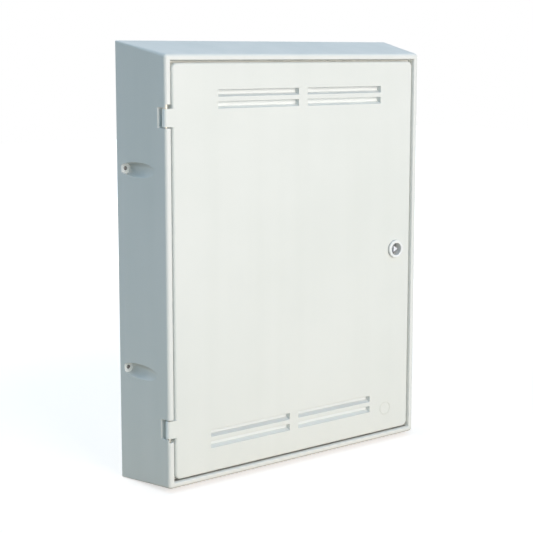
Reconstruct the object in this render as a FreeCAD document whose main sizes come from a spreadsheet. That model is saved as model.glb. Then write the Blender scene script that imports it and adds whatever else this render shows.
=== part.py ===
import FreeCAD, Part
import math
import os
import re

# Wall-mounted electric meter box, in millimetres.
# X runs to the right seen from the front, Y to the wall, Z up.
# The origin is the middle of the four wall fixings, on the wall.

# Driving sizes
SIZES = {
    # Cover
    "front_width": 450,
    "front_height": 595,
    "box_depth": 100,
    "top_draft": 18.5,
    "side_draft": 19,
    "bottom_draft": 6,
    "shell_wall": 3,
    "outer_round": 5,
    "wall_round": 1.5,
    # Rim round the door, and the landing that the door closes on
    "rim_width": 9,
    "rim_flare": 1.5,
    "rim_flare_depth": 3.5,
    "landing_width": 10,
    "landing_wall": 3,
    "landing_gap": 0.6,
    # Wall fixings at the ends of the conical screw scoops
    "fixing_drop": 0,
    "fixing_spread": 472,
    "fixing_pitch": 282,
    "fixing_radius": 2.5,
    "land_radius": 7.4,
    "land_wall": 9,
    "scoop_mouth": 17,
    # Door
    "door_gap": 2.2,
    "door_recess": 1,
    "door_skin": 3,
    "door_lip": 11,
    "door_corner": 8,
    "door_round": 3.5,
    # Hinges
    "hinge_inset": 3.2,
    "hinge_setback": 4.9,
    "upper_hinge_drop": 84,
    "lower_hinge_rise": 84,
    "pin_radius": 1.7,
    "pin_play": 0.08,
    "pin_seat": 14,
    "knuckle_height": 24.5,
    "knuckle_depth": 9.5,
    "knuckle_reach": 4.5,
    "knuckle_round": 4.5,
    "knuckle_gap": 1.5,
    "pin_window": 5.5,
    "pin_window_side": 0.5,
    "notch_depth": 14.5,
    "ramp_depth": 16.6,
    # Louvres
    "louvre_width": 138,
    "louvre_bridge": 16,
    "upper_louvre_drop": 47.6,
    "upper_louvre_shift": 5,
    "lower_louvre_rise": 45.4,
    "lower_louvre_shift": -10,
    "slot_height": 10.2,
    "slot_pitch": 16.3,
    "louvre_depth": 8.5,
    "sill_edge": 0.5,
    "sill_rise": 3.5,
    "baffle_wall": 2.5,
    "baffle_top": 11.2,
    # Plain moulded ring at the lower right of the door
    "ring_inset": 57.5,
    "ring_rise": 47,
    "ring_radius": 10.5,
    "ring_line": 1.4,
    "ring_depth": 0.2,
    # Lock
    "lock_inset": 41.8,
    "lock_drop": 297.5,
    "lock_play": 0.3,
    "gasket_wall": 1,
    "collar_radius": 13.5,
    "collar_wall": 3.5,
    "collar_round": 1.2,
    "recess_radius": 9.5,
    "recess_depth": 13,
    "barrel_radius": 11,
    "washer_radius": 15,
    "washer_wall": 1.2,
    "nut_radius": 16,
    "nut_wall": 4,
    "journal_radius": 6,
    "journal_play": 0.06,
    "spindle_head_wall": 2,
    "stud_radius": 5.3,
    "stud_length": 7.5,
    "cam_gap": 1,
    "cam_wall": 2.5,
    "cam_width": 16,
    "cam_length": 31,
    "cam_drive": 8,
    "cam_washer_radius": 7,
    "cam_washer_wall": 1.2,
    "cam_screw_radius": 2.5,
    "cam_screw_depth": 9,
    "cam_head_radius": 4.5,
    "cam_head_height": 3.2,
    # Back panel
    "panel_wall": 4,
    "panel_play": 0.5,
    "boss_spread": 160,
    "boss_width": 14,
    "boss_reach": 12,
    "boss_length": 20,
    "panel_screw_inset": 8,
    "panel_screw_radius": 1.75,
    "panel_screw_length": 18,
    "panel_head_radius": 3.5,
    "panel_head_height": 2,
    # Meter board
    "board_width": 400,
    "board_height": 470,
    "board_wall": 12,
    "board_top_gap": 4,
    "board_margin": 20,
    "pillar_radius": 8,
    "pillar_height": 8,
    "board_screw_radius": 2,
    "board_screw_depth": 9.5,
    "board_head_radius": 4.5,
    "board_head_height": 2.6,
    # Cable entries
    "entry_spread": 180,
    "entry_rise": 33,
    "entry_radius": 20,
    "grommet_bore": 12,
    "grommet_lip": 4,
    "grommet_flange": 2.5,
    # Cross recess in the screw heads
    "recess_span": 4.4,
    "recess_slot": 1.1,
    "recess_sink": 1.3,
}

# Places and sizes that follow from the driving sizes
PLACES = {
    "half_front": "front_width / 2",
    "half_back": "half_front + side_draft",
    "front_top": "front_height / 2 + fixing_drop",
    "front_bottom": "fixing_drop - front_height / 2",
    "back_top": "front_top + top_draft",
    "back_bottom": "front_bottom - bottom_draft",
    "front_face": "-box_depth",
    "door_face": "front_face + door_recess",
    "door_inner": "door_face + door_skin",
    "door_back": "door_face + door_lip",
    "landing_face": "door_back + landing_gap",
    "landing_back": "landing_face + landing_wall",
    "rim_share": "(landing_back + box_depth) / box_depth",
    "rebate_half": "half_front - rim_width",
    "rebate_top": "front_top - rim_width",
    "rebate_bottom": "front_bottom + rim_width",
    "doorway_half": "rebate_half - landing_width",
    "doorway_top": "rebate_top - landing_width",
    "doorway_bottom": "rebate_bottom + landing_width",
    "door_half": "rebate_half - door_gap",
    "door_top": "rebate_top - door_gap",
    "door_bottom": "rebate_bottom + door_gap",
    "hinge_x": "hinge_inset - half_front",
    "hinge_y": "front_face + hinge_setback",
    "upper_hinge_z": "front_top - upper_hinge_drop",
    "lower_hinge_z": "front_bottom + lower_hinge_rise",
    "half_knuckle": "knuckle_height / 2",
    "notch_back": "front_face + notch_depth",
    "ramp_back": "front_face + ramp_depth",
    "fixing_x": "fixing_spread / 2",
    "fixing_z": "fixing_pitch / 2",
    "scoop_slope": "(scoop_mouth - land_radius) / (box_depth - land_wall)",
    "baffle_face": "door_face + louvre_depth",
    "lock_x": "half_front - lock_inset",
    "lock_z": "front_top - lock_drop",
    "collar_back": "door_face - gasket_wall",
    "collar_front": "collar_back - collar_wall",
    "recess_floor": "collar_front + recess_depth",
    "cam_front": "landing_back + cam_gap",
    "cam_back": "cam_front + cam_wall",
    "barrel_back": "cam_front - lock_play",
    "panel_half": "half_back - shell_wall - side_draft * panel_wall / box_depth - panel_play",
    "panel_top": "back_top - shell_wall - top_draft * panel_wall / box_depth - panel_play",
    "panel_bottom": "back_bottom + shell_wall + bottom_draft * panel_wall / box_depth + panel_play",
    "housing_radius": "land_radius + shell_wall",
    "housing_growth": "scoop_slope * panel_wall",
    "boss_front": "-panel_wall - boss_length",
    "boss_screw_top": "back_top - shell_wall - panel_screw_inset",
    "boss_screw_bottom": "back_bottom + shell_wall + panel_screw_inset",
    "boss_screw_side": "half_back - shell_wall - panel_screw_inset",
    "board_back": "-panel_wall - pillar_height",
    "board_front": "board_back - board_wall",
    "board_screw_x": "board_width / 2 - board_margin",
    "board_top": "doorway_top - board_top_gap",
    "board_bottom": "board_top - board_height",
    "board_middle": "board_top - board_height / 2",
    "entry_x": "entry_spread / 2",
    "entry_z": "doorway_bottom + entry_rise",
}

doc = FreeCAD.newDocument("electric_meter_box")
sheet = doc.addObject("Spreadsheet::Sheet", "sizes")
for row, (alias, value) in enumerate(SIZES.items(), 1):
    sheet.set(f"A{row}", alias)
    sheet.set(f"B{row}", str(value))
    sheet.setAlias(f"B{row}", alias)
doc.recompute()

ALONG_Y = FreeCAD.Rotation(FreeCAD.Vector(1, 0, 0), -90)
ALONG_Z = FreeCAD.Rotation()
CLEAR = "1"


def expression(text):
    """A formula in the sheet's own words, with every place worked out."""

    def word(match):
        name = match[0]
        if name in PLACES:
            return "(" + expression(PLACES[name]) + ")"
        return "sizes." + name if name in SIZES else name

    return re.sub(r"[a-z][a-z_]*", word, text)


def number(text):
    return float(sheet.evalExpression(expression(text)))


def bind(item, **formulas):
    for name, text in formulas.items():
        item.setExpression(name, expression(text))


def place(item, spot, turn=ALONG_Z):
    item.Placement = FreeCAD.Placement(FreeCAD.Vector(), turn)
    for axis, text in zip("xyz", spot):
        item.setExpression(f"Placement.Base.{axis}", expression(text))
    return item


def block(name, low, high):
    item = doc.addObject("Part::Box", name)
    length, width, height = [f"({b}) - ({a})" for a, b in zip(low, high)]
    bind(item, Length=length, Width=width, Height=height)
    return place(item, low)


def rod(name, spot, radius, length, turn=ALONG_Y):
    item = doc.addObject("Part::Cylinder", name)
    bind(item, Radius=radius, Height=length)
    return place(item, spot, turn)


def taper(name, spot, near_radius, far_radius, length):
    item = doc.addObject("Part::Cone", name)
    bind(item, Radius1=near_radius, Radius2=far_radius, Height=length)
    return place(item, spot, ALONG_Y)


def prism(name, spot, corners, radius, length):
    item = doc.addObject("Part::Prism", name)
    item.Polygon = corners
    bind(item, Circumradius=radius, Height=length)
    return place(item, spot, ALONG_Y)


def wedge(name, front, back):
    """A block between a front and a back face, each given as left, right, y, bottom and top."""
    item = doc.addObject("Part::Wedge", name)
    left, right, y, bottom, top = front
    bind(item, Xmin=left, Xmax=right, Ymin=y, Zmin=bottom, Zmax=top)
    left, right, y, bottom, top = back
    bind(item, X2min=left, X2max=right, Ymax=y, Z2min=bottom, Z2max=top)
    return item


def scoop_cone(name, side, z, spare):
    """A cone that widens towards the front, with its inner line square to the wall."""
    item = doc.addObject("Part::Cone", name)
    bind(
        item,
        Radius1=f"land_radius - 2 * land_wall * scoop_slope + {spare}",
        Radius2=f"land_radius + (box_depth - land_wall) * scoop_slope + {spare}",
        Height="box_depth + land_wall",
    )
    lean = math.atan(number("scoop_slope"))
    hinge_line = FreeCAD.Vector(math.cos(lean), int(side) * math.sin(lean), 0)
    spot = (f"{side} * (fixing_x - 2 * land_wall * scoop_slope)", "land_wall", z)
    return place(item, spot, FreeCAD.Rotation(hinge_line, 90))


def fuse(name, items):
    item = doc.addObject("Part::MultiFuse", name)
    item.Shapes = items
    item.Refine = True
    return item


def group(name, items):
    item = doc.addObject("Part::Compound", name)
    item.Links = items
    return item


def cut(name, base, tools):
    item = doc.addObject("Part::Cut", name)
    item.Base = base
    item.Tool = tools[0] if len(tools) == 1 else group(f"{name}_tools", tools)
    item.Refine = True
    return item


def common(name, base, tool):
    item = doc.addObject("Part::Common", name)
    item.Base = base
    item.Tool = tool
    return item


def rounded(name, base, radius, chosen, wall_radius=None):
    """Rounds the chosen edges, with a radius of its own where an edge ends on the wall."""
    doc.recompute()
    item = doc.addObject("Part::Fillet", name)
    item.Base = base

    def radius_at(point):
        on_wall = wall_radius and abs(point.y) < 0.001
        return number(wall_radius if on_wall else radius)

    item.Edges = [
        (i, radius_at(points(edge)[0]), radius_at(points(edge)[-1]))
        for i, edge in enumerate(base.Shape.Edges, 1)
        if chosen(edge)
    ]
    return item


def points(edge):
    first, last = edge.ParameterRange
    return [edge.valueAt(p) for p in (first, (first + last) / 2, last)]


def at(axis, text):
    """Chooses edges that lie wholly at one place along an axis."""
    spot = number(text)
    return lambda edge: all(abs(getattr(p, axis) - spot) < 0.001 for p in points(edge))


def runs_along(axis):
    """Chooses edges that change along an axis and along no other."""
    others = "xyz".replace(axis, "")
    return lambda edge: all(
        abs(getattr(points(edge)[0], o) - getattr(points(edge)[-1], o)) < 0.001 for o in others
    )


def panel_screw_spots():
    for x in ("-boss_spread", "0", "boss_spread"):
        yield x, "boss_screw_top"
        yield x, "boss_screw_bottom"
    yield "-(boss_screw_side)", "0"
    yield "boss_screw_side", "0"


def board_screw_spots():
    for x in ("-(board_screw_x)", "board_screw_x"):
        for z in ("board_bottom + board_margin", "board_middle", "board_top - board_margin"):
            yield x, z


def fixing_spots():
    for side in ("-1", "1"):
        for z in ("-(fixing_z)", "fixing_z"):
            yield side, z


def cross_recess(name, x, z, front, back):
    """The cutter for a cross recess in a screw head, between two places along Y."""
    half_span, half_slot = "recess_span / 2", "recess_slot / 2"
    bars = []
    for bar, (across, up) in enumerate(((half_span, half_slot), (half_slot, half_span))):
        low = (f"{x} - {across}", front, f"{z} - {up}")
        high = (f"{x} + {across}", back, f"{z} + {up}")
        bars.append(block(f"{name}_bar_{bar}", low, high))
    return fuse(name, bars)


def knuckle_span(hinge):
    """The lowest and highest point of the notch round a knuckle."""
    return f"{hinge}_hinge_z - half_knuckle - knuckle_gap", f"{hinge}_hinge_z + half_knuckle + knuckle_gap"


def notch_span(hinge):
    """The lowest and highest point of a hinge notch: the pin shows past the knuckle's outer end."""
    if hinge == "upper":
        return "upper_hinge_z - half_knuckle - knuckle_gap", "upper_hinge_z + half_knuckle + pin_window"
    return "lower_hinge_z - half_knuckle - pin_window", "lower_hinge_z + half_knuckle + knuckle_gap"


def make_box_shell():
    outer = wedge(
        "cover_outside",
        ("-(half_front)", "half_front", "front_face", "front_bottom", "front_top"),
        ("-(half_back)", "half_back", "0", "back_bottom", "back_top"),
    )
    on_wall = at("y", "0")
    outer = rounded(
        "cover_rounded", outer, "outer_round", lambda edge: not on_wall(edge), "wall_round"
    )
    inner_half = "half_front + side_draft * rim_share - shell_wall"
    cavity = wedge(
        "cover_inside",
        (
            f"-({inner_half})",
            inner_half,
            "landing_back",
            "front_bottom - bottom_draft * rim_share + shell_wall",
            "front_top + top_draft * rim_share - shell_wall",
        ),
        (
            "-(half_back - shell_wall)",
            "half_back - shell_wall",
            "0",
            "back_bottom + shell_wall",
            "back_top - shell_wall",
        ),
    )
    rebate = block(
        "door_rebate",
        ("-(rebate_half)", f"front_face - {CLEAR}", "rebate_bottom"),
        ("rebate_half", "landing_face", "rebate_top"),
    )
    flare = wedge(
        "door_rebate_flare",
        (
            "-(rebate_half + rim_flare)",
            "rebate_half + rim_flare",
            "front_face",
            "rebate_bottom - rim_flare",
            "rebate_top + rim_flare",
        ),
        ("-(rebate_half)", "rebate_half", "front_face + rim_flare_depth", "rebate_bottom", "rebate_top"),
    )
    doorway = block(
        "doorway",
        ("-(doorway_half)", f"landing_face - {CLEAR}", "doorway_bottom"),
        ("doorway_half", f"landing_back + {CLEAR}", "doorway_top"),
    )
    hollow = cut("cover_hollow", outer, [cavity, fuse("door_recess_cutter", [rebate, flare]), doorway])

    # Scoop walls, screw bosses and hinge pockets, trimmed to the outside of the cover
    inside = []
    scoops = []
    fixing_holes = []
    for side, z in fixing_spots():
        tag = f"{'left' if side == '-1' else 'right'}_{'low' if '-' in z else 'high'}"
        inside.append(scoop_cone(f"scoop_wall_{tag}", side, z, "shell_wall"))
        scoops.append(scoop_cone(f"scoop_{tag}", side, z, "0"))
        hole = (f"{side} * fixing_x", f"-land_wall - {CLEAR}", z)
        fixing_holes.append(rod(f"fixing_hole_{tag}", hole, "fixing_radius", f"land_wall + 2 * {CLEAR}"))
    before_lands = block(
        "before_lands",
        ("-(half_back + scoop_mouth)", "front_face", "-(fixing_pitch)"),
        ("half_back + scoop_mouth", "-land_wall", "fixing_pitch"),
    )
    scoops = common("scoops", group("scoop_cones", scoops), before_lands)
    half_boss = "boss_width / 2"
    for i, x in enumerate(("-boss_spread", "0", "boss_spread")):
        for edge, low, high in (
            ("top", "back_top - shell_wall - boss_reach", "back_top"),
            ("bottom", "back_bottom", "back_bottom + shell_wall + boss_reach"),
        ):
            inside.append(
                block(
                    f"boss_{edge}_{i}",
                    (f"{x} - {half_boss}", "boss_front", low),
                    (f"{x} + {half_boss}", "-panel_wall", high),
                )
            )
    for side, low, high in (
        ("left", "-(half_back)", "-(half_back - shell_wall - boss_reach)"),
        ("right", "half_back - shell_wall - boss_reach", "half_back"),
    ):
        inside.append(
            block(
                f"boss_{side}",
                (low, "boss_front", f"-({half_boss})"),
                (high, "-panel_wall", half_boss),
            )
        )
    for hinge in ("upper", "lower"):
        low, high = notch_span(hinge)
        inside.append(
            block(
                f"{hinge}_hinge_pocket",
                ("-(half_back)", "landing_face", f"{low} - shell_wall"),
                ("-(doorway_half)", "ramp_back + shell_wall", f"{high} + shell_wall"),
            )
        )
    inside = common("inside_walls", fuse("inside_walls_whole", inside), outer)
    pilots = [
        rod(f"boss_pilot_{i}", (x, "-panel_screw_length", z), "panel_screw_radius", "panel_screw_length")
        for i, (x, z) in enumerate(panel_screw_spots())
    ]

    # Hinge notches through the rim and the side, a ramp behind each, and the pins' windows and seats
    past_side = f"-(half_back) - {CLEAR}"
    side_at_ramp = "-(half_front + side_draft * ramp_depth / box_depth)"
    notches = []
    for hinge in ("upper", "lower"):
        low, high = knuckle_span(hinge)
        notches.append(
            block(
                f"{hinge}_notch",
                (past_side, f"front_face - {CLEAR}", low),
                ("-(rebate_half)", "notch_back", high),
            )
        )
        notches.append(
            wedge(
                f"{hinge}_ramp",
                (past_side, "hinge_x", "notch_back", low, high),
                (past_side, side_at_ramp, "ramp_back", low, high),
            )
        )
        low, high = notch_span(hinge)
        notches.append(
            block(
                f"{hinge}_pin_window",
                ("hinge_x - pin_radius - pin_window_side", f"front_face - {CLEAR}", low),
                ("-(rebate_half)", "notch_back", high),
            )
        )
        notches.append(
            rod(
                f"{hinge}_pin_seat",
                ("hinge_x", "hinge_y", f"{low} - pin_seat"),
                "pin_radius",
                f"({high}) - ({low}) + 2 * pin_seat",
                ALONG_Z,
            )
        )
    whole = fuse("cover_with_walls", [hollow, inside])
    return cut("box_shell", whole, [scoops] + fixing_holes + pilots + notches)


def make_hinge_pin(hinge):
    low, high = notch_span(hinge)
    length = f"({high}) - ({low}) + 2 * pin_seat"
    foot = ("hinge_x", "hinge_y", f"{low} - pin_seat")
    return rod(f"{hinge}_hinge_pin", foot, "pin_radius", length, ALONG_Z)


def panel_screw_taper(name, x, z):
    """The tapered head of a back panel screw, flush with the wall side."""
    neck = (x, "-panel_head_height", z)
    return taper(name, neck, "panel_screw_radius", "panel_head_radius", "panel_head_height")


def make_back_panel():
    plate = block(
        "panel_plate",
        ("-(panel_half)", "-panel_wall", "panel_bottom"),
        ("panel_half", "0", "panel_top"),
    )
    pillars = [
        rod(f"pillar_{i}", (x, "board_back", z), "pillar_radius", "pillar_height")
        for i, (x, z) in enumerate(board_screw_spots())
    ]
    holes = []
    for i, (x, z) in enumerate(board_screw_spots()):
        pilot = (x, "board_back", z)
        holes.append(rod(f"pillar_pilot_{i}", pilot, "board_screw_radius", "board_screw_depth"))
    for i, (side, z) in enumerate(fixing_spots()):
        radius = "housing_radius + housing_growth + panel_play"
        round_scoop = (f"{side} * fixing_x", "-panel_wall", z)
        holes.append(rod(f"scoop_clearance_{i}", round_scoop, radius, "panel_wall"))
    for i, (x, z) in enumerate(panel_screw_spots()):
        holes.append(rod(f"panel_hole_{i}", (x, "-panel_wall", z), "panel_screw_radius", "panel_wall"))
        holes.append(panel_screw_taper(f"panel_sink_{i}", x, z))
    for side, x in (("service", "-(entry_x)"), ("tails", "entry_x")):
        holes.append(rod(f"{side}_entry", (x, "-panel_wall", "entry_z"), "entry_radius", "panel_wall"))
    return cut("back_panel", fuse("panel_with_pillars", [plate] + pillars), holes)


def make_back_panel_screws():
    screws = []
    for i, (x, z) in enumerate(panel_screw_spots()):
        tip = (x, "-panel_screw_length", z)
        shank = rod(f"panel_shank_{i}", tip, "panel_screw_radius", "panel_screw_length")
        head = panel_screw_taper(f"panel_head_{i}", x, z)
        recess = cross_recess(f"panel_recess_{i}", x, z, "-recess_sink", CLEAR)
        screws.append(cut(f"panel_screw_{i}", fuse(f"panel_screw_blank_{i}", [shank, head]), [recess]))
    return group("back_panel_screws", screws)


def make_meter_board():
    board = block(
        "board_blank",
        ("-board_width / 2", "board_front", "board_bottom"),
        ("board_width / 2", "board_back", "board_top"),
    )
    holes = [
        rod(f"board_hole_{i}", (x, "board_front", z), "board_screw_radius", "board_wall")
        for i, (x, z) in enumerate(board_screw_spots())
    ]
    return cut("meter_board", board, holes)


def make_meter_board_screws():
    screws = []
    for i, (x, z) in enumerate(board_screw_spots()):
        top = "board_front - board_head_height"
        head = rod(f"board_head_{i}", (x, top, z), "board_head_radius", "board_head_height")
        length = "board_wall + board_screw_depth"
        shank = rod(f"board_shank_{i}", (x, "board_front", z), "board_screw_radius", length)
        crown = rounded(f"board_crown_{i}", head, "board_head_height / 2", at("y", top))
        recess = cross_recess(f"board_recess_{i}", x, z, f"{top} - {CLEAR}", f"{top} + recess_sink")
        screws.append(cut(f"board_screw_{i}", fuse(f"board_screw_blank_{i}", [crown, shank]), [recess]))
    return group("meter_board_screws", screws)


def make_grommet(name, x):
    plug = rod(f"{name}_plug", (x, "-panel_wall", "entry_z"), "entry_radius", "panel_wall")
    flange_front = "-panel_wall - grommet_flange"
    front = (x, flange_front, "entry_z")
    flange = rod(f"{name}_flange", front, "entry_radius + grommet_lip", "grommet_flange")
    flange = rounded(f"{name}_soft_flange", flange, "grommet_flange / 2", at("y", flange_front))
    bore = rod(f"{name}_bore", front, "grommet_bore", "panel_wall + grommet_flange")
    return cut(name, fuse(f"{name}_blank", [plug, flange]), [bore])


def louvre_corners():
    """A tag for each louvre slot, and its left and bottom edges."""
    columns = ("-louvre_bridge / 2 - louvre_width", "louvre_bridge / 2")
    rows = {
        "upper": "front_top - upper_louvre_drop - slot_height",
        "lower": "front_bottom + lower_louvre_rise + slot_pitch",
    }
    for end, top_row in rows.items():
        for column, left in enumerate(columns):
            for row in range(2):
                bottom = f"{top_row} - {row} * slot_pitch"
                yield f"{end}_{column}_{row}", f"{end}_louvre_shift + {left}", bottom


def make_door_panel():
    blank = block(
        "door_blank",
        ("-(door_half)", "door_face", "door_bottom"),
        ("door_half", "door_back", "door_top"),
    )
    blank = rounded("door_cornered", blank, "door_corner", runs_along("y"))
    blank = rounded("door_softened", blank, "door_round", at("y", "door_face"))
    hollow = block(
        "door_hollow",
        ("-(door_half - door_skin)", "door_inner", "door_bottom + door_skin"),
        ("door_half - door_skin", f"door_back + {CLEAR}", "door_top - door_skin"),
    )
    hollow = rounded("door_hollow_cornered", hollow, "door_corner - door_skin", runs_along("y"))
    tray = cut("door_tray", blank, [hollow])

    added = [tray]
    sills = []
    openings = []
    for tag, left, bottom in louvre_corners():
        right = f"{left} + louvre_width"
        added.append(
            block(
                f"baffle_{tag}",
                (f"{left} - baffle_wall", "door_inner", f"{bottom} - baffle_wall"),
                (f"{right} + baffle_wall", "baffle_face + baffle_wall", f"{bottom} + baffle_top"),
            )
        )
        slot_top = f"{bottom} + slot_height"
        slot = block(f"slot_{tag}", (left, f"door_face - {CLEAR}", bottom), (right, "baffle_face", slot_top))
        throat = block(
            f"throat_{tag}",
            (left, "door_inner", f"{slot_top} - {CLEAR}"),
            (right, "baffle_face", f"{bottom} + baffle_top + {CLEAR}"),
        )
        openings.append(fuse(f"vent_{tag}", [slot, throat]))
        sills.append(
            wedge(
                f"sill_{tag}",
                (left, right, "door_face", bottom, f"{bottom} + sill_edge"),
                (left, right, "baffle_face", bottom, f"{bottom} + sill_rise"),
            )
        )
    bores = []
    for hinge in ("upper", "lower"):
        middle = f"{hinge}_hinge_z"
        knuckle = block(
            f"{hinge}_knuckle_block",
            ("hinge_x - knuckle_reach", "door_face", f"{middle} - half_knuckle"),
            ("-(door_half) + door_round", "door_face + knuckle_depth", f"{middle} + half_knuckle"),
        )
        upright, outer_end = runs_along("z"), at("x", "hinge_x - knuckle_reach")
        knuckle = rounded(
            f"{hinge}_knuckle", knuckle, "knuckle_round", lambda edge: upright(edge) and outer_end(edge)
        )
        added.append(knuckle)
        bores.append(
            rod(
                f"{hinge}_knuckle_bore",
                ("hinge_x", "hinge_y", f"{middle} - half_knuckle"),
                "pin_radius + pin_play",
                "knuckle_height",
                ALONG_Z,
            )
        )
    bores.append(lock_rod("lock_hole", "door_face", "barrel_radius + lock_play", "door_skin"))
    ring_spot = ("half_front - ring_inset", "door_face", "front_bottom + ring_rise")
    ring = cut(
        "ring_groove",
        rod("ring_outside", ring_spot, "ring_radius", "ring_depth"),
        [rod("ring_inside", ring_spot, "ring_radius - ring_line", "ring_depth")],
    )
    open_door = cut("door_with_slots", fuse("door_with_baffles", added), openings)
    return cut("door_panel", fuse("door_with_sills", [open_door] + sills), bores + [ring])


def lock_rod(name, y, radius, length):
    return rod(name, ("lock_x", y, "lock_z"), radius, length)


def make_lock_gasket():
    ring = lock_rod("gasket_blank", "collar_back", "collar_radius", "gasket_wall")
    bore = lock_rod("gasket_bore", "collar_back", "barrel_radius", "gasket_wall")
    return cut("lock_gasket", ring, [bore])


def make_lock_barrel():
    collar = lock_rod("collar_blank", "collar_front", "collar_radius", "collar_wall")
    collar = rounded("collar", collar, "collar_round", at("y", "collar_front"))
    stem = lock_rod("barrel_stem", "collar_back", "barrel_radius", "barrel_back - collar_back")
    recess = lock_rod("key_recess", "collar_front", "recess_radius", "recess_depth")
    journal = "journal_radius + journal_play"
    bore = lock_rod("journal_bore", "recess_floor", journal, "barrel_back - recess_floor")
    return cut("lock_barrel", fuse("barrel_blank", [collar, stem]), [recess, bore])


def make_lock_washer():
    ring = lock_rod("washer_blank", "door_inner", "washer_radius", "washer_wall")
    bore = lock_rod("washer_bore", "door_inner", "barrel_radius", "washer_wall")
    return cut("lock_washer", ring, [bore])


def make_lock_nut():
    spot = ("lock_x", "door_inner + washer_wall", "lock_z")
    nut = prism("nut_blank", spot, 6, "nut_radius", "nut_wall")
    return cut("lock_nut", nut, [lock_rod("nut_bore", spot[1], "barrel_radius", "nut_wall")])


def make_lock_spindle():
    head_back = "recess_floor - journal_play"
    head_front = f"{head_back} - spindle_head_wall"
    head = lock_rod("spindle_head", head_front, "recess_radius - lock_play", "spindle_head_wall")
    stud_front = ("lock_x", f"{head_front} - stud_length", "lock_z")
    stud = prism("key_stud", stud_front, 3, "stud_radius", "stud_length")
    journal = lock_rod("spindle_journal", head_back, "journal_radius", f"cam_front - ({head_back})")
    drive = cam_drive_block("spindle_drive")
    hole = lock_rod("cam_screw_hole", "cam_back - cam_screw_depth", "cam_screw_radius", "cam_screw_depth")
    return cut("lock_spindle", fuse("spindle_blank", [head, stud, journal, drive]), [hole])


def cam_drive_block(name):
    half = "cam_drive / 2"
    return block(
        name,
        (f"lock_x - {half}", "cam_front", f"lock_z - {half}"),
        (f"lock_x + {half}", "cam_back", f"lock_z + {half}"),
    )


def make_lock_cam():
    half = "cam_width / 2"
    eye = lock_rod("cam_eye", "cam_front", half, "cam_wall")
    tongue = block(
        "cam_tongue",
        (f"lock_x - {half}", "cam_front", "lock_z - cam_length"),
        (f"lock_x + {half}", "cam_back", "lock_z"),
    )
    tip, straight = at("z", "lock_z - cam_length"), runs_along("y")
    tongue = rounded(
        "cam_tongue_rounded", tongue, "cam_width / 4", lambda edge: tip(edge) and straight(edge)
    )
    return cut("lock_cam", fuse("cam_blank", [eye, tongue]), [cam_drive_block("cam_drive_hole")])


def make_cam_washer():
    ring = lock_rod("cam_washer_blank", "cam_back", "cam_washer_radius", "cam_washer_wall")
    bore = lock_rod("cam_washer_bore", "cam_back", "cam_screw_radius", "cam_washer_wall")
    return cut("cam_washer", ring, [bore])


def make_cam_screw():
    shank_front = "cam_back - cam_screw_depth"
    shank = lock_rod("cam_shank", shank_front, "cam_screw_radius", "cam_screw_depth + cam_washer_wall")
    seat = "cam_back + cam_washer_wall"
    head = lock_rod("cam_head", seat, "cam_head_radius", "cam_head_height")
    top = f"{seat} + cam_head_height"
    crown = rounded("cam_crown", head, "cam_head_height / 2", at("y", top))
    recess = cross_recess("cam_recess", "lock_x", "lock_z", f"{top} - recess_sink", f"{top} + {CLEAR}")
    return cut("cam_screw", fuse("cam_screw_blank", [shank, crown]), [recess])


pieces = [
    make_box_shell(),
    make_back_panel(),
    make_back_panel_screws(),
    make_meter_board(),
    make_meter_board_screws(),
    make_hinge_pin("upper"),
    make_hinge_pin("lower"),
    make_grommet("service_cable_grommet", "-(entry_x)"),
    make_grommet("tails_grommet", "entry_x"),
    make_door_panel(),
    make_lock_gasket(),
    make_lock_barrel(),
    make_lock_washer(),
    make_lock_nut(),
    make_lock_spindle(),
    make_lock_cam(),
    make_cam_washer(),
    make_cam_screw(),
]
doc.recompute()

failed = [item.Label for item in doc.Objects if {"Invalid", "Error"} & set(item.State)]
failed += [p.Label for p in pieces if p.Shape.isNull() or not p.Shape.isValid() or not p.Shape.Solids]
if failed:
    raise RuntimeError("not built: " + ", ".join(failed))

os.makedirs("parts", exist_ok=True)
for piece in pieces:
    piece.Shape.exportStep(f"parts/{piece.Label}.step")
    print(f"{piece.Label}: {len(piece.Shape.Solids)} solids, {piece.Shape.Volume / 1000:.2f} cm3")
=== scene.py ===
import math

import bpy
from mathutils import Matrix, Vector


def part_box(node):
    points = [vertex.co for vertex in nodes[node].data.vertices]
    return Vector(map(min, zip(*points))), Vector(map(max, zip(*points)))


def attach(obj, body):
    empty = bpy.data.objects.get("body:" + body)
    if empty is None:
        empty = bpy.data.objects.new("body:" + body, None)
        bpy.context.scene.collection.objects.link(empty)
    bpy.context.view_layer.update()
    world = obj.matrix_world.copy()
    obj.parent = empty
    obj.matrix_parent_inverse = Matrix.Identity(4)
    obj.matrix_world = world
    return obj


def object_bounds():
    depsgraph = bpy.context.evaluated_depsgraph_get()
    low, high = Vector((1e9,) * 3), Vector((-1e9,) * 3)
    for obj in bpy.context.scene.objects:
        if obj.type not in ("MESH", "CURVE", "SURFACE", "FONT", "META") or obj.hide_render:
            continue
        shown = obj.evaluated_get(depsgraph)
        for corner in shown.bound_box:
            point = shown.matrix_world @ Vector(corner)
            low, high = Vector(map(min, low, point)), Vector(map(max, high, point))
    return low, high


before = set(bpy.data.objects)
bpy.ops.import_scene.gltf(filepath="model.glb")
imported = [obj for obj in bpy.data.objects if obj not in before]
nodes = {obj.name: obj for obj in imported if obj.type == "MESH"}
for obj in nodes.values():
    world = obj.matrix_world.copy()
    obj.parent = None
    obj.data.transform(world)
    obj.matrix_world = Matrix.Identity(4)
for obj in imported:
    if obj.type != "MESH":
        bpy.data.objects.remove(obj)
cad_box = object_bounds()

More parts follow.
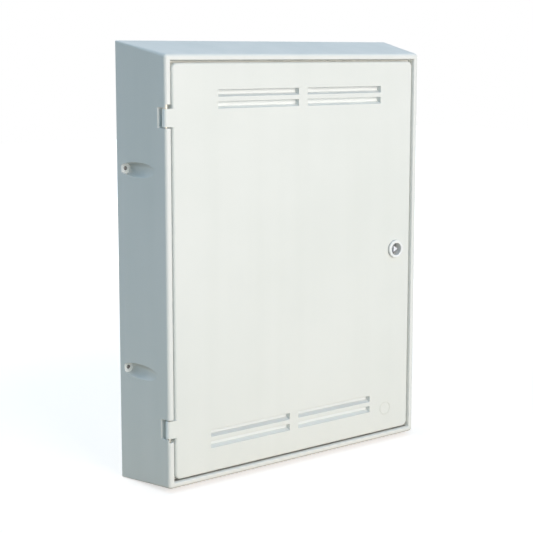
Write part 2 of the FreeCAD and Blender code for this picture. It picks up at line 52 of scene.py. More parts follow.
# Camera, from the corners of the box in the photograph. Its place is in metres, its angles are in degrees,
# its lens and sensor in millimetres, and its rise is the shift as a share of the frame
CAMERA_PLACE = (-1.04695, -1.46644, 0.29867)
CAMERA_HEADING = 35.813
CAMERA_TILT = -7.574
CAMERA_LENS = 81.162
CAMERA_SENSOR = 36
CAMERA_RISE = -0.1004
CAMERA_NEAR = 0.01

# Lamps in front of the box and behind it
KEY_DIRECTION = (0.05, -0.96, 0.22)
KEY_DISTANCE = 3.0
KEY_SIZE = 1.8
KEY_POWER = 68
KEY_COLOUR = (1.0, 0.905, 0.845)
BACK_DIRECTION = (-0.1, 0.98, 0.1)
BACK_DISTANCE = 3.0
BACK_SIZE = 1.8
BACK_POWER = 60
BACK_COLOUR = (1.0, 0.97, 0.93)

# Sky: its colours overhead and low down, and the heights between which they change
SKY_ZENITH = (0.465, 0.71, 0.965, 1.0)
SKY_HORIZON = (0.035, 0.085, 0.085, 1.0)
SKY_RISE = (0.08, 1.0)
WHITE = (1.0, 1.0, 1.0, 1.0)

# Floor: the colours that it throws back far from the box and near it, with the distances between which they
# change; its half width; the colour that takes the shadow; and its own glow near the box, with the distances
# between which that rises to white
FLOOR_BOUNCE = (0.54, 0.52, 0.48, 1.0)
FLOOR_BOUNCE_NEAR = (0.72, 0.61, 0.475, 1.0)
FLOOR_WARMTH = (0.5, 1.2)
FLOOR_HALF = 6.0
FLOOR_SHADE = (0.605, 0.535, 0.48, 1.0)
FLOOR_GLOW = 0.64
FLOOR_FADE = (0.6, 2.4)

# Roundings of edges that the tools leave sharp, in metres
COVER_EASE = 0.0006
DOOR_EASE = 0.0005
PANEL_EASE = 0.0004
BOARD_EASE = 0.0004
RUBBER_EASE = 0.0003
HARDWARE_EASE = 0.00025
SCREW_EASE = 0.00012
EASE_STEPS = 2

# Edges sharper than the first angle are rounded, and faces that meet flatter than the second become one
SHARP_ANGLE = math.radians(35)
FLAT_ANGLE = math.radians(0.3)

# How near corners of faces are to be joined, how much large faces count in the shading (1 to 100), and how
# near the wall the cover's edges stay sharp
JOIN_REACH = 1e-6
FACE_WEIGHT = 100
WALL_REACH = 0.0004

# Gloss of the plastic, dullness of the bare castings, and the clear film on the lock's white coating
PLASTIC_IOR = 1.5
CASTING_DULLNESS = 0.4
COATING_WEIGHT = 0.3
COATING_ROUGHNESS = 0.12

# Relief of the finishes: its depth in metres and its strength
MOULDED_RELIEF = (0.00025, 0.25)
METAL_RELIEF = (0.00005, 0.35)
RUBBER_RELIEF = (0.0001, 0.4)
COATING_RELIEF = (0.0002, 0.2)
PLYWOOD_RELIEF = (0.0004, 0.5)

# Range that most of a noise lies in
NOISE_RANGE = (0.3, 0.7)

# Bare casting in the lock's recess, as far as just outside the spindle's head, and how metallic it and the
# spindle are
RECESS_PLAY = 0.0005
RECESS_METAL = 0.1
SPINDLE_METAL = 0.3

# Painted shade in the lock's recess, darker with depth: where it starts and where it is full, behind the
# front of the piece
BARREL_PAINTED_SHADE = (0.005, 0.014)
STUD_PAINTED_SHADE = (0.0045, 0.0072)

# Depth behind the door's face where painted light on its plastic starts and where it is full, and how much
# of the lighter tone that is
LOUVRE_PAINTED_LIGHT = (0.0008, 0.0022)
LOUVRE_PAINTED_LIGHT_SHARE = 0.75

# Wall fixing holes of the cover: their places, the radius inside which painted shade darkens them, that of
# the land round it, which is painted light, and the soft edge of both
FIXING_X = 0.236
FIXING_Z = 0.141
FIXING_SHADE_RADIUS = 0.0028
FIXING_LAND = 0.0074
FIXING_BLUR = 0.0003

# Rebate that the door lies in: its half width and height, and how far from the wall its landing is
REBATE_HALF = (0.2162, 0.2887)
REBATE_LANDING = 0.087

# Painted shade on the sill of the rebate, with the distances from the wall between which it deepens, and
# painted shade on the cover's faces that look down
SILL_PAINTED_SHADE = (0.098, 0.0935)
SILL_PAINTED_SHADE_SHARE = 0.9
UNDER_PAINTED_SHADE_SHARE = 0.42

# Plies of the meter board
PLY_COUNT = 7.0

# Thread on the barrel of the lock, behind its nut: sizes in metres, and counts of steps
BARREL_RADIUS = 0.011
THREAD_SINK = 0.0001
THREAD_FADE = 12
THREAD_FILL = 0.9
THREAD_PITCH = 0.0015
THREAD_DEPTH = 0.0005
THREAD_STEPS = 48

# Sockets of Blender's mix node that mix colours
MIX_SHARE, MIX_FIRST, MIX_SECOND, MIX_RESULT = 0, 6, 7, 2


def linear(red, green, blue):
    """A colour in screen values, 0 to 255, as a linear colour."""
    shares = [value / 255 for value in (red, green, blue)]
    return (*[s / 12.92 if s <= 0.04045 else ((s + 0.055) / 1.055) ** 2.4 for s in shares], 1.0)


def fill(tree, socket, value):
    """Links a socket to another one, or sets it to a plain value."""
    if isinstance(value, bpy.types.NodeSocket):
        tree.links.new(value, socket)
    else:
        socket.default_value = value


def add(tree, kind, inputs=None, **settings):
    """Adds a shader node with its settings, and fills its inputs."""
    made = tree.nodes.new("ShaderNode" + kind)
    for name, value in settings.items():
        setattr(made, name, value)
    for label, value in (inputs or {}).items():
        fill(tree, made.inputs[label], value)
    return made


def reckon(tree, operation, first, second=0.0):
    """One step of arithmetic."""
    return add(tree, "Math", {0: first, 1: second}, operation=operation).outputs[0]


def reckon_vector(tree, operation, first, second=(0, 0, 0)):
    """One step of arithmetic on vectors that gives a vector."""
    return add(tree, "VectorMath", {0: first, 1: second}, operation=operation).outputs["Vector"]


def length(tree, vector):
    """How long a vector is."""
    return add(tree, "VectorMath", {0: vector}, operation="LENGTH").outputs["Value"]


def split(tree, vector):
    """The parts of a vector along X, Y and Z."""
    return add(tree, "SeparateXYZ", {0: vector}).outputs


def spread(tree, value, low, high, to_low=0.0, to_high=1.0):
    """Stretches a value from one range to another and keeps it there."""
    sockets = {"Value": value, "From Min": low, "From Max": high, "To Min": to_low, "To Max": to_high}
    return add(tree, "MapRange", sockets).outputs["Result"]


def sway(tree, value, pattern, less, more, low=NOISE_RANGE[0], high=NOISE_RANGE[1]):
    """A value that a pattern changes by less where it is low and by more where it is high."""
    return reckon(tree, "ADD", value, spread(tree, pattern, low, high, less, more))


def weigh(tree, first, first_share, second, second_share):
    """Two patterns added up by their shares."""
    parts = [reckon(tree, "MULTIPLY", *part) for part in ((first, first_share), (second, second_share))]
    return reckon(tree, "ADD", *parts)


def blend(tree, share, first, second):
    """Mixes two colours by a share of the second."""
    sockets = {MIX_SHARE: share, MIX_FIRST: first, MIX_SECOND: second}
    return add(tree, "Mix", sockets, data_type="RGBA").outputs[MIX_RESULT]


def place_on_piece(tree):
    """The place on the piece itself, in metres."""
    return add(tree, "TexCoord").outputs["Object"]


def surface_facing(tree):
    """The direction that the surface faces, along X, Y and Z."""
    return split(tree, add(tree, "NewGeometry").outputs["Normal"])


def off_axis(tree, place, middle):
    """How far a place is from an axis through a middle, where the axis runs front to back."""
    offset = reckon_vector(tree, "SUBTRACT", place, middle)
    return length(tree, reckon_vector(tree, "MULTIPLY", offset, (1, 0, 1)))


def noise(tree, scale, detail=2.0, stretch=(1, 1, 1)):
    """Noise in metres on the piece itself, squeezed along each axis by its stretch."""
    squeezed = add(tree, "Mapping", {"Vector": place_on_piece(tree), "Scale": stretch}).outputs["Vector"]
    return add(tree, "TexNoise", {"Vector": squeezed, "Scale": scale, "Detail": detail}).outputs[0]


def effect(name, inputs, outputs):
    """An empty node group with named sockets: its tree, its inputs and its outputs."""
    tree = bpy.data.node_groups.new(name, "ShaderNodeTree")
    for label, value in inputs.items():
        kind = "NodeSocketFloat" if isinstance(value, float) else "NodeSocketColor"
        tree.interface.new_socket(label, in_out="INPUT", socket_type=kind).default_value = value
    for label in outputs:
        kind = "NodeSocketColor" if label == "Color" else "NodeSocketFloat"
        tree.interface.new_socket(label, in_out="OUTPUT", socket_type=kind)
    return tree, tree.nodes.new("NodeGroupInput").outputs, tree.nodes.new("NodeGroupOutput").inputs


def place_effect(tree, group, inputs):
    """Places a node group in a material with its own values, and gives its outputs."""
    made = add(tree, "Group", node_tree=group)
    for label, value in inputs.items():
        fill(tree, made.inputs[label], value)
    return made.outputs


def moulded_skin_effect():
    """Satin moulded plastic: pale clouds, upright flow streaks, orange peel and a fine grain."""
    tree, given, put = effect(
        "moulded_skin",
        {"Tone": linear(230, 232, 228), "Cast": linear(222, 226, 222), "Mottle": 0.5, "Dullness": 0.42},
        ("Color", "Roughness", "Height"),
    )
    clouds = noise(tree, 6.0, 3.0)
    streaks = noise(tree, 1.0, 2.0, (34, 34, 1.3))
    peel = noise(tree, 230.0, 2.0)
    grain = noise(tree, 950.0, 1.0)
    mottle = spread(tree, weigh(tree, clouds, 0.65, streaks, 0.35), 0.36, 0.64)
    share = reckon(tree, "MULTIPLY", mottle, given["Mottle"])
    speckled = sway(tree, share, grain, -0.08, 0.08)
    dull = sway(tree, given["Dullness"], streaks, -0.05, 0.05)
    fill(tree, put["Color"], blend(tree, speckled, given["Tone"], given["Cast"]))
    fill(tree, put["Roughness"], sway(tree, dull, grain, -0.04, 0.04))
    fill(tree, put["Height"], weigh(tree, peel, 0.7, grain, 0.3))
    return tree


def settled_dust_effect():
    """A thin film of dust on faces that look up, broken by clouds."""
    tree, given, put = effect(
        "settled_dust",
        {"Color": linear(230, 232, 228), "Dust": linear(176, 170, 158), "Amount": 0.1},
        ("Color",),
    )
    upward = spread(tree, surface_facing(tree)["Z"], 0.25, 0.95)
    patches = spread(tree, noise(tree, 28.0, 4.0), 0.32, 0.68, 0.35, 1.0)
    dusty = reckon(tree, "MULTIPLY", reckon(tree, "MULTIPLY", upward, patches), given["Amount"])
    fill(tree, put["Color"], blend(tree, dusty, given["Color"], given["Dust"]))
    return tree


def plated_metal_effect():
    """Plated metal: a clouded plating, fine scratches along the piece and dull spots."""
    tree, given, put = effect(
        "plated_metal",
        {"Tone": linear(205, 207, 208), "Stain": linear(188, 182, 166), "Dullness": 0.3},
        ("Color", "Roughness", "Height"),
    )
    clouds = noise(tree, 420.0, 3.0)
    scratches = noise(tree, 1.0, 3.0, (2600, 260, 2600))
    spots = noise(tree, 1500.0, 2.0)
    stained = spread(tree, clouds, 0.38, 0.66)
    dull = sway(tree, given["Dullness"], clouds, -0.06, 0.1)
    fill(tree, put["Color"], blend(tree, stained, given["Tone"], given["Stain"]))
    fill(tree, put["Roughness"], sway(tree, dull, spots, 0.0, 0.12, 0.4, 0.75))
    fill(tree, put["Height"], weigh(tree, scratches, 0.6, spots, 0.4))
    return tree


def rubber_bloom_effect():
    """Rubber with a pale bloom in patches and a matt mould grain."""
    tree, given, put = effect(
        "rubber_bloom",
        {"Tone": linear(38, 38, 39), "Bloom": linear(88, 88, 86), "Dullness": 0.62},
        ("Color", "Roughness", "Height"),
    )
    patches = noise(tree, 90.0, 4.0)
    grain = noise(tree, 1800.0, 2.0)
    bloomed = reckon(tree, "MULTIPLY", spread(tree, patches, 0.42, 0.72), 0.55)
    fill(tree, put["Color"], blend(tree, bloomed, given["Tone"], given["Bloom"]))
    fill(tree, put["Roughness"], sway(tree, given["Dullness"], patches, -0.08, 0.12))
    fill(tree, put["Height"], grain)
    return tree


def recess_painted_shade_effect():
    """Painted shade that deepens with depth, from a start to an end along the lock's axis."""
    tree, given, put = effect(
        "recess_painted_shade",
        {"Color": linear(204, 206, 205), "Painted Shade": linear(104, 104, 102), "Start": 0.0, "End": 0.01},
        ("Color",),
    )
    depth = split(tree, place_on_piece(tree))["Y"]
    patches = spread(tree, noise(tree, 380.0, 3.0), *NOISE_RANGE, 0.6, 1.0)
    share = reckon(tree, "MULTIPLY", spread(tree, depth, given["Start"], given["End"]), patches)
    fill(tree, put["Color"], blend(tree, share, given["Color"], given["Painted Shade"]))
    return tree


moulded_skin = moulded_skin_effect()
settled_dust = settled_dust_effect()
plated_metal = plated_metal_effect()
rubber_bloom = rubber_bloom_effect()
recess_painted_shade = recess_painted_shade_effect()


def new_finish(name):
    """A material with its tree and its shader."""
    material = bpy.data.materials.new(name)
    material.use_nodes = True
    tree = material.node_tree
    return material, tree, tree.nodes["Principled BSDF"]


def fill_shader(tree, shader, colour, roughness, height, relief):
    """Feeds the shader a varying colour and roughness, and a bump as deep and strong as its relief."""
    depth, strength = relief
    bump = add(tree, "Bump", {"Height": height, "Distance": depth, "Strength": strength})
    fill(tree, shader.inputs["Base Color"], colour)
    fill(tree, shader.inputs["Roughness"], roughness)
    fill(tree, shader.inputs["Normal"], bump.outputs["Normal"])


def moulded_finish(name, tone, cast, mottle, dullness, dust, marked=None):
    """Moulded plastic with dust on it, and the marks of a function on its colour."""
    material, tree, shader = new_finish(name)
    look = {"Tone": tone, "Cast": cast, "Mottle": mottle, "Dullness": dullness}
    skin = place_effect(tree, moulded_skin, look)
    colour = place_effect(tree, settled_dust, {"Color": skin["Color"], "Amount": dust})["Color"]
    if marked:
        colour = marked(tree, colour)
    fill_shader(tree, shader, colour, skin["Roughness"], skin["Height"], MOULDED_RELIEF)
    shader.inputs["IOR"].default_value = PLASTIC_IOR
    return material


def fixing_marks(tree, colour, quarter, facing):
    """Lands at the foot of the scoops lightened as painted light, and painted shade inside the wall fixing
    holes.
    """
    radius = off_axis(tree, quarter, (FIXING_X, 0, FIXING_Z))
    near = spread(tree, radius, FIXING_LAND, FIXING_LAND - FIXING_BLUR)
    land = reckon(tree, "MULTIPLY", near, spread(tree, facing["Y"], -0.8, -0.95))
    # Painted light: the lands are lightened where the scoops shade them.
    lit_land = blend(tree, land, colour, linear(251, 253, 250))
    # Painted shade: dark inside the fixing holes.
    inside = spread(tree, radius, FIXING_SHADE_RADIUS, FIXING_SHADE_RADIUS - FIXING_BLUR)
    return blend(tree, inside, lit_land, linear(58, 50, 46))


def rebate_marks(tree, colour, quarter, facing, patches):
    """A rebate painted paler where the door shades it, as painted light, and darker on its sill, as painted
    shade.
    """
    away = split(tree, quarter)
    framed = [reckon(tree, "LESS_THAN", away[axis], half) for axis, half in zip("XZ", REBATE_HALF)]
    before_landing = reckon(tree, "GREATER_THAN", away["Y"], REBATE_LANDING)
    rebate = reckon(tree, "MULTIPLY", reckon(tree, "MULTIPLY", *framed), before_landing)
    # Painted light: the rebate is lightened where the door shades it.
    pale = blend(tree, rebate, colour, linear(242, 242, 236))
    # Painted shade on the sill, darkest just under the door's edge.
    upward = spread(tree, facing["Z"], 0.7, 0.95, 0.0, SILL_PAINTED_SHADE_SHARE)
    on_sill = reckon(tree, "MULTIPLY", rebate, upward)
    sill_shade = reckon(tree, "MULTIPLY", on_sill, spread(tree, away["Y"], *SILL_PAINTED_SHADE))
    return blend(tree, reckon(tree, "MULTIPLY", sill_shade, patches), pale, linear(84, 82, 80))


def cover_marks(tree, colour):
    """Painted shade on the cover's faces that look down, and the painted light and shade of its fixings and
    of its rebate, which are alike in all four quarters."""
    facing = surface_facing(tree)
    patches = spread(tree, noise(tree, 60.0, 3.0), *NOISE_RANGE, 0.75, 1.0)
    # Painted shade: faces that look down are darkened towards olive brown, in patches.
    downward = spread(tree, facing["Z"], -0.22, -0.7, 0.0, UNDER_PAINTED_SHADE_SHARE)
    painted_shade_colour = blend(tree, reckon(tree, "MULTIPLY", downward, patches), colour, linear(126, 121, 104))
    quarter = reckon_vector(tree, "ABSOLUTE", place_on_piece(tree))
    return rebate_marks(tree, fixing_marks(tree, painted_shade_colour, quarter, facing), quarter, facing, patches)


def door_marks(tree, colour):
    """Painted light: paler, cooler plastic where the door's louvres shade it, but not on its back."""
    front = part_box("door_panel")[0].y
    on_door = add(tree, "TexCoord").outputs
    depth = split(tree, on_door["Object"])["Y"]
    facing = split(tree, on_door["Normal"])["Y"]
    deep = spread(tree, depth, front + LOUVRE_PAINTED_LIGHT[0], front + LOUVRE_PAINTED_LIGHT[1], 0.0, LOUVRE_PAINTED_LIGHT_SHARE)
    # Painted light, only on faces that do not look back.
    painted_louvre_light = reckon(tree, "MULTIPLY", deep, spread(tree, facing, 0.3, 0.7, 1.0, 0.0))
    return blend(tree, painted_louvre_light, colour, linear(240, 245, 245))


def metal_finish(name, tone, stain, dullness, metal=1.0):
    """Plated metal, or a plating so dull that it is only partly metallic."""
    material, tree, shader = new_finish(name)
    plate = place_effect(tree, plated_metal, {"Tone": tone, "Stain": stain, "Dullness": dullness})
    fill_shader(tree, shader, plate["Color"], plate["Roughness"], plate["Height"], METAL_RELIEF)
    shader.inputs["Metallic"].default_value = metal
    return material


def casting_with_painted_shade(tree, tone, stain, shade_tone, front, depths):
    """A bright casting with painted shade in it at depths behind its front: its outputs and its shaded
    colour.
    """
    plate = place_effect(tree, plated_metal, {"Tone": tone, "Stain": stain, "Dullness": CASTING_DULLNESS})
    start, end = (front + depth for depth in depths)
    shade_inputs = {"Color": plate["Color"], "Painted Shade": shade_tone, "Start": start, "End": end}
    return plate, place_effect(tree, recess_painted_shade, shade_inputs)["Color"]


def spindle_finish():
    """A bright casting, with painted shade round the foot of the key stud."""
    material, tree, shader = new_finish("bright_spindle_casting")
    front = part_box("lock_spindle")[0].y
    # The last tone is painted shade round the foot of the stud.
    tones = linear(228, 230, 237), linear(216, 218, 224), linear(112, 112, 112)
    plate, painted_shade_colour = casting_with_painted_shade(tree, *tones, front, STUD_PAINTED_SHADE)
    fill_shader(tree, shader, painted_shade_colour, plate["Roughness"], plate["Height"], METAL_RELIEF)
    shader.inputs["Metallic"].default_value = SPINDLE_METAL
    return material


def rubber_finish(name, tone, bloom, dullness):
    """Rubber in a tone of its own."""
    material, tree, shader = new_finish(name)
    rubber = place_effect(tree, rubber_bloom, {"Tone": tone, "Bloom": bloom, "Dullness": dullness})
    fill_shader(tree, shader, rubber["Color"], rubber["Roughness"], rubber["Height"], RUBBER_RELIEF)
    return material


def coated_casting_finish():
    """White coating on the lock's die casting, a little uneven, and bare metal round the key stud with
    painted shade.
    """
    material, tree, shader = new_finish("white_coated_casting")
    skin = place_effect(
        tree,
        moulded_skin,
        {"Tone": linear(240, 241, 239), "Cast": linear(228, 230, 230), "Mottle": 0.4, "Dullness": 0.24},
    )
    ripple = noise(tree, 480.0, 2.0)
    low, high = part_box("lock_spindle")
    recess = (high.x - low.x) / 2 + RECESS_PLAY
    bare = reckon(tree, "LESS_THAN", off_axis(tree, place_on_piece(tree), (low + high) / 2), recess)
    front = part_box("lock_barrel")[0].y
    # The last tone is painted shade deeper in the recess.
    tones = linear(250, 251, 249), linear(238, 239, 236), linear(236, 236, 232)
    painted_shade_colour = casting_with_painted_shade(tree, *tones, front, BARREL_PAINTED_SHADE)[1]
    colour = blend(tree, bare, skin["Color"], painted_shade_colour)
    fill_shader(tree, shader, colour, skin["Roughness"], ripple, COATING_RELIEF)
    fill(tree, shader.inputs["Metallic"], reckon(tree, "MULTIPLY", bare, RECESS_METAL))
    shader.inputs["Coat Weight"].default_value = COATING_WEIGHT
    shader.inputs["Coat Roughness"].default_value = COATING_ROUGHNESS
    return material


def plywood_finish(front, back):
    """Bare plywood: upright grain on the faces, and the plies in turn on the edges."""
    material, tree, shader = new_finish("bare_plywood")
    grain = noise(tree, 1.0, 4.0, (95, 95, 4.2))
    rings = noise(tree, 1.0, 2.0, (16, 16, 0.9))
    pores = noise(tree, 1.0, 2.0, (900, 900, 45))
    bands = reckon(tree, "SINE", reckon(tree, "MULTIPLY", rings, 46.0))
    figure = sway(tree, spread(tree, bands, -1.0, 1.0, 0.0, 0.55), grain, 0.0, 0.45)
    veneer = blend(tree, figure, linear(214, 182, 138), linear(178, 138, 92))
    pored = blend(tree, spread(tree, pores, 0.56, 0.74, 0.0, 0.45), veneer, linear(126, 90, 58))

    depth = split(tree, place_on_piece(tree))["Y"]
    layer = spread(tree, depth, front, back, 0.0, PLY_COUNT)
    turn = reckon(tree, "MODULO", reckon(tree, "FLOOR", layer), 2.0)
    end_grain = blend(tree, turn, linear(196, 160, 114), linear(138, 102, 66))
    torn = spread(tree, noise(tree, 700.0, 3.0), 0.4, 0.7, 0.0, 0.5)
    rough_end = blend(tree, torn, end_grain, linear(112, 82, 52))
    front_or_back = reckon(tree, "ABSOLUTE", surface_facing(tree)["Y"])
    on_edge = spread(tree, front_or_back, 0.3, 0.7, 1.0, 0.0)
    whole = blend(tree, on_edge, pored, rough_end)
    dusted = place_effect(tree, settled_dust, {"Color": whole, "Amount": 0.3})
    dull = spread(tree, grain, *NOISE_RANGE, 0.55, 0.75)
    fill_shader(tree, shader, dusted["Color"], dull, weigh(tree, pores, 0.6, grain, 0.4), PLYWOOD_RELIEF)
    return material


def finishes():
    """The finish of each node."""
    board_low, board_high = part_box("meter_board")
    cover = moulded_finish(
        "satin_cover",
        linear(232, 233, 229),
        linear(223, 226, 221),
        mottle=0.55,
        dullness=0.44,
        dust=0.06,
        marked=cover_marks,
    )
    door = moulded_finish(
        "satin_door",
        linear(230, 232, 227),
        linear(222, 225, 219),
        mottle=0.55,
        dullness=0.42,
        dust=0.06,
        marked=door_marks,
    )
    panel = moulded_finish(
        "plain_back_panel",
        linear(214, 216, 211),
        linear(198, 201, 196),
        mottle=0.9,
        dullness=0.55,
        dust=0.15,
    )
    pin = metal_finish("drawn_pin_steel", linear(214, 211, 202), linear(196, 188, 168), dullness=0.22)
    screw = metal_finish(
        "zinc_screw", linear(176, 179, 182), linear(160, 155, 136), dullness=0.48, metal=0.8
    )
    steel = metal_finish(
        "zinc_plated_lock_steel", linear(168, 170, 172), linear(150, 146, 130), dullness=0.5, metal=0.8
    )
    grommet = rubber_finish("grommet_rubber", linear(36, 36, 37), linear(84, 84, 82), dullness=0.6)
    gasket = rubber_finish("gasket_rubber", linear(150, 152, 150), linear(176, 177, 175), dullness=0.66)
    return {
        "box_shell": cover,
        "door_panel": door,
        "back_panel": panel,
        "meter_board": plywood_finish(board_low.y, board_high.y),
        "back_panel_screws": screw,
        "meter_board_screws": screw,
        "upper_hinge_pin": pin,
        "lower_hinge_pin": pin,
        "service_cable_grommet": grommet,
        "tails_grommet": grommet,
        "lock_gasket": gasket,
        "lock_barrel": coated_casting_finish(),
        "lock_spindle": spindle_finish(),
        "lock_washer": steel,
        "lock_nut": steel,
        "lock_cam": steel,
        "cam_washer": steel,
        "cam_screw": steel,
    }


def shape_nodes(name):
    """Empty geometry nodes: their tree, the shape that comes in and the socket it goes out by."""
    tree = bpy.data.node_groups.new(name, "GeometryNodeTree")
    for side in ("INPUT", "OUTPUT"):
        tree.interface.new_socket("Geometry", in_out=side, socket_type="NodeSocketGeometry")
    return tree, tree.nodes.new("NodeGroupInput").outputs[0], tree.nodes.new("NodeGroupOutput").inputs[0]


def joined_smooth_nodes():
    """Joins a node's faces at their edges and shades them smooth."""
    tree, shape, out = shape_nodes("joined_smooth")
    merge = tree.nodes.new("GeometryNodeMergeByDistance")
    smooth = tree.nodes.new("GeometryNodeSetShadeSmooth")
    fill(tree, merge.inputs["Geometry"], shape)
    fill(tree, merge.inputs["Distance"], JOIN_REACH)
    fill(tree, smooth.inputs["Geometry"], merge.outputs["Geometry"])
    fill(tree, out, smooth.outputs["Geometry"])
    return tree


def cover_edge_nodes():
    """Marks the cover's edges to be rounded, and leaves those on the wall sharp."""
    tree, shape, out = shape_nodes("cover_edges")
    angle = tree.nodes.new("GeometryNodeInputMeshEdgeAngle").outputs["Unsigned Angle"]
    depth = split(tree, tree.nodes.new("GeometryNodeInputPosition").outputs[0])["Y"]
    keen = reckon(tree, "GREATER_THAN", angle, SHARP_ANGLE)
    on_wall = reckon(tree, "GREATER_THAN", depth, -WALL_REACH)
    sharp = tree.nodes.new("GeometryNodeSetShadeSmooth")
    mark = tree.nodes.new("GeometryNodeStoreNamedAttribute")
    sharp.domain = mark.domain = "EDGE"
    fill(tree, sharp.inputs["Geometry"], shape)
    fill(tree, sharp.inputs["Selection"], reckon(tree, "MULTIPLY", keen, on_wall))
    fill(tree, sharp.inputs["Shade Smooth"], False)
    fill(tree, mark.inputs["Geometry"], sharp.outputs["Geometry"])
    fill(tree, mark.inputs["Name"], "bevel_weight_edge")
    fill(tree, mark.inputs["Value"], reckon(tree, "GREATER_THAN", keen, on_wall))
    fill(tree, out, mark.outputs["Geometry"])
    return tree


joined_smooth = joined_smooth_nodes()
cover_edges = cover_edge_nodes()


def ease_edges(name, width):
    """Rounds a node's sharp edges a little, as moulding, casting and tumbling leave them."""
    node = nodes[name]
    node.modifiers.new("joined", "NODES").node_group = joined_smooth
    flat = node.modifiers.new("flat_faces", "DECIMATE")
    flat.decimate_type = "DISSOLVE"
    flat.angle_limit = FLAT_ANGLE
    if name == "box_shell":
        node.modifiers.new("marked_edges", "NODES").node_group = cover_edges
    bevel = node.modifiers.new("eased_edges", "BEVEL")
    bevel.width = width
    bevel.segments = EASE_STEPS
    bevel.limit_method = "WEIGHT" if name == "box_shell" else "ANGLE"
    bevel.angle_limit = SHARP_ANGLE
    bevel.use_clamp_overlap = False
    normals = node.modifiers.new("face_normals", "WEIGHTED_NORMAL")
    normals.weight = FACE_WEIGHT
    normals.keep_sharp = True


def put_in_scene(name, data):
    """A new object in the scene."""
    made = bpy.data.objects.new(name, data)
    bpy.context.scene.collection.objects.link(made)
    return made


def put_mesh(name, corners, faces):
    """A new object with a mesh of its corners and faces."""
    mesh = bpy.data.meshes.new(name)
    mesh.from_pydata(corners, [], faces)
    mesh.update()
    return put_in_scene(name, mesh)


def make_barrel_thread():
    """The thread that shows on the lock's barrel between its nut and its end."""
    low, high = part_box("lock_barrel")
    axis_x = (low.x + high.x) / 2
    axis_z = (low.z + high.z) / 2
    start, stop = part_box("lock_nut")[1].y, high.y - THREAD_PITCH
    turns = (stop - start) / THREAD_PITCH
    steps = int(turns * THREAD_STEPS)
    profile = ((0.0, -0.5), (THREAD_DEPTH, -0.1), (THREAD_DEPTH, 0.1), (0.0, 0.5))
    corners = []
    for step in range(steps + 1):
        angle = 2 * math.pi * step / THREAD_STEPS
        along = start + THREAD_PITCH * (step / THREAD_STEPS + 0.5)
        fade = min(1.0, step / THREAD_FADE, (steps - step) / THREAD_FADE)
        for rise, shift in profile:
            radius = BARREL_RADIUS - THREAD_SINK + rise * fade
            x = axis_x + radius * math.cos(angle)
            y = along + shift * THREAD_PITCH * THREAD_FILL
            z = axis_z + radius * math.sin(angle)
            corners.append((x, y, z))
    count = len(profile)
    faces = []
    for step in range(steps):
        here, there = step * count, (step + 1) * count
        for side in range(count):
            after = (side + 1) % count
            faces.append((here + side, here + after, there + after, there + side))
    faces.append(tuple(range(count))[::-1])
    faces.append(tuple(steps * count + i for i in range(count)))
    return put_mesh("barrel_thread", corners, faces)


def make_camera():
    """The camera that sees the box as the photograph does."""
    data = bpy.data.cameras.new("camera")
    data.sensor_width = CAMERA_SENSOR
    data.lens = CAMERA_LENS
    data.shift_y = CAMERA_RISE
    data.clip_start = CAMERA_NEAR
    camera = put_in_scene("camera", data)
    camera.location = CAMERA_PLACE
    camera.rotation_euler = (math.radians(90 + CAMERA_TILT), 0, math.radians(-CAMERA_HEADING))
    bpy.context.scene.camera = camera


def make_lamp(name, direction, distance, size, power, colour):
    """A square lamp that shines on the origin from a direction."""
    data = bpy.data.lights.new(name, "AREA")
    data.shape = "SQUARE"
    data.size = size
    data.energy = power
    data.color = colour
    lamp = put_in_scene(name, data)
    aim = Vector(direction).normalized()
    lamp.location = aim * distance
    lamp.rotation_euler = aim.to_track_quat("Z", "Y").to_euler()


def seen_plainly(tree):
    """One where a ray comes from the camera, a gloss or a glass, and none where light is scattered."""
    path = add(tree, "LightPath").outputs
    straight = reckon(tree, "MAXIMUM", path["Is Camera Ray"], path["Is Glossy Ray"])
    return reckon(tree, "MAXIMUM", straight, path["Is Transmission Ray"])


def make_surroundings():
    """Cool light from above and from the sides, on a white background."""
    world = bpy.data.worlds.new("surroundings")
    bpy.context.scene.world = world
    world.use_nodes = True
    tree = world.node_tree
    tree.nodes.clear()
    height = split(tree, add(tree, "TexCoord").outputs["Generated"])["Z"]
    sky = blend(tree, spread(tree, height, *SKY_RISE), SKY_HORIZON, SKY_ZENITH)
    soft = add(tree, "Background", {"Color": sky, "Strength": 1.0}).outputs[0]
    white = add(tree, "Background", {"Color": WHITE, "Strength": 1.0}).outputs[0]
    mixed = add(tree, "MixShader", {0: seen_plainly(tree), 1: soft, 2: white}).outputs[0]
    add(tree, "OutputWorld", {"Surface": mixed})


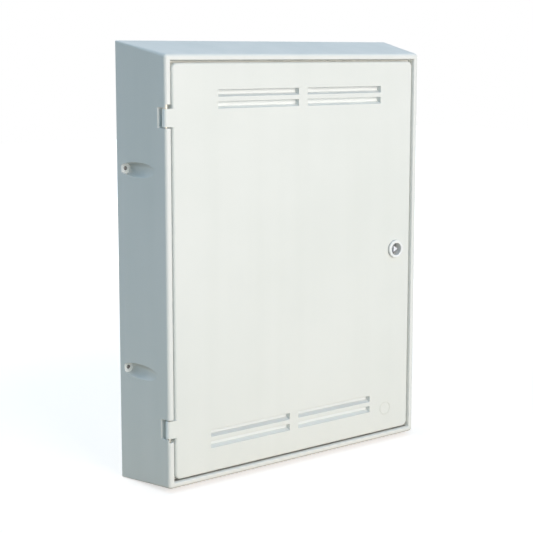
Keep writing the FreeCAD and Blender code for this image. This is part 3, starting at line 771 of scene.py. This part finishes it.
def make_floor():
    """A pale floor that keeps a soft shadow of the box and fades to white away from it."""
    material = bpy.data.materials.new("pale_floor")
    material.use_nodes = True
    tree = material.node_tree
    tree.nodes.clear()
    away = length(tree, place_on_piece(tree))
    tint = blend(tree, spread(tree, away, *FLOOR_WARMTH), FLOOR_BOUNCE_NEAR, FLOOR_BOUNCE)
    bounce = add(tree, "BsdfDiffuse", {"Color": tint}).outputs[0]
    strength = spread(tree, away, *FLOOR_FADE, FLOOR_GLOW, 1.0)
    glow = add(tree, "Emission", {"Color": WHITE, "Strength": strength}).outputs[0]
    shade = add(tree, "BsdfDiffuse", {"Color": FLOOR_SHADE}).outputs[0]
    white = add(tree, "AddShader", {0: glow, 1: shade}).outputs[0]
    mixed = add(tree, "MixShader", {0: seen_plainly(tree), 1: bounce, 2: white}).outputs[0]
    add(tree, "OutputMaterial", {"Surface": mixed})
    level = cad_box[0].z
    corners = [(x * FLOOR_HALF, y * FLOOR_HALF, level) for x, y in ((-1, -1), (1, -1), (1, 1), (-1, 1))]
    floor = put_mesh("floor", corners, [(0, 1, 2, 3)])
    floor.data.materials.append(material)


EASED = {
    "box_shell": COVER_EASE,
    "door_panel": DOOR_EASE,
    "back_panel": PANEL_EASE,
    "meter_board": BOARD_EASE,
    "service_cable_grommet": RUBBER_EASE,
    "tails_grommet": RUBBER_EASE,
    "lock_barrel": HARDWARE_EASE,
    "lock_spindle": HARDWARE_EASE,
    "lock_washer": HARDWARE_EASE,
    "lock_nut": HARDWARE_EASE,
    "lock_cam": HARDWARE_EASE,
    "cam_washer": HARDWARE_EASE,
    "upper_hinge_pin": HARDWARE_EASE,
    "lower_hinge_pin": HARDWARE_EASE,
    "lock_gasket": SCREW_EASE,
    "cam_screw": SCREW_EASE,
    "back_panel_screws": SCREW_EASE,
    "meter_board_screws": SCREW_EASE,
}

node_finishes = finishes()
for name, finish in node_finishes.items():
    nodes[name].material_slots[0].material = finish
for name, width in EASED.items():
    ease_edges(name, width)

thread = make_barrel_thread()
thread.data.materials.append(node_finishes["lock_barrel"])
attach(thread, "door")

make_camera()
make_lamp("key_light", KEY_DIRECTION, KEY_DISTANCE, KEY_SIZE, KEY_POWER, KEY_COLOUR)
make_lamp("back_light", BACK_DIRECTION, BACK_DISTANCE, BACK_SIZE, BACK_POWER, BACK_COLOUR)
make_surroundings()
make_floor()
bpy.context.scene.view_settings.view_transform = "Standard"
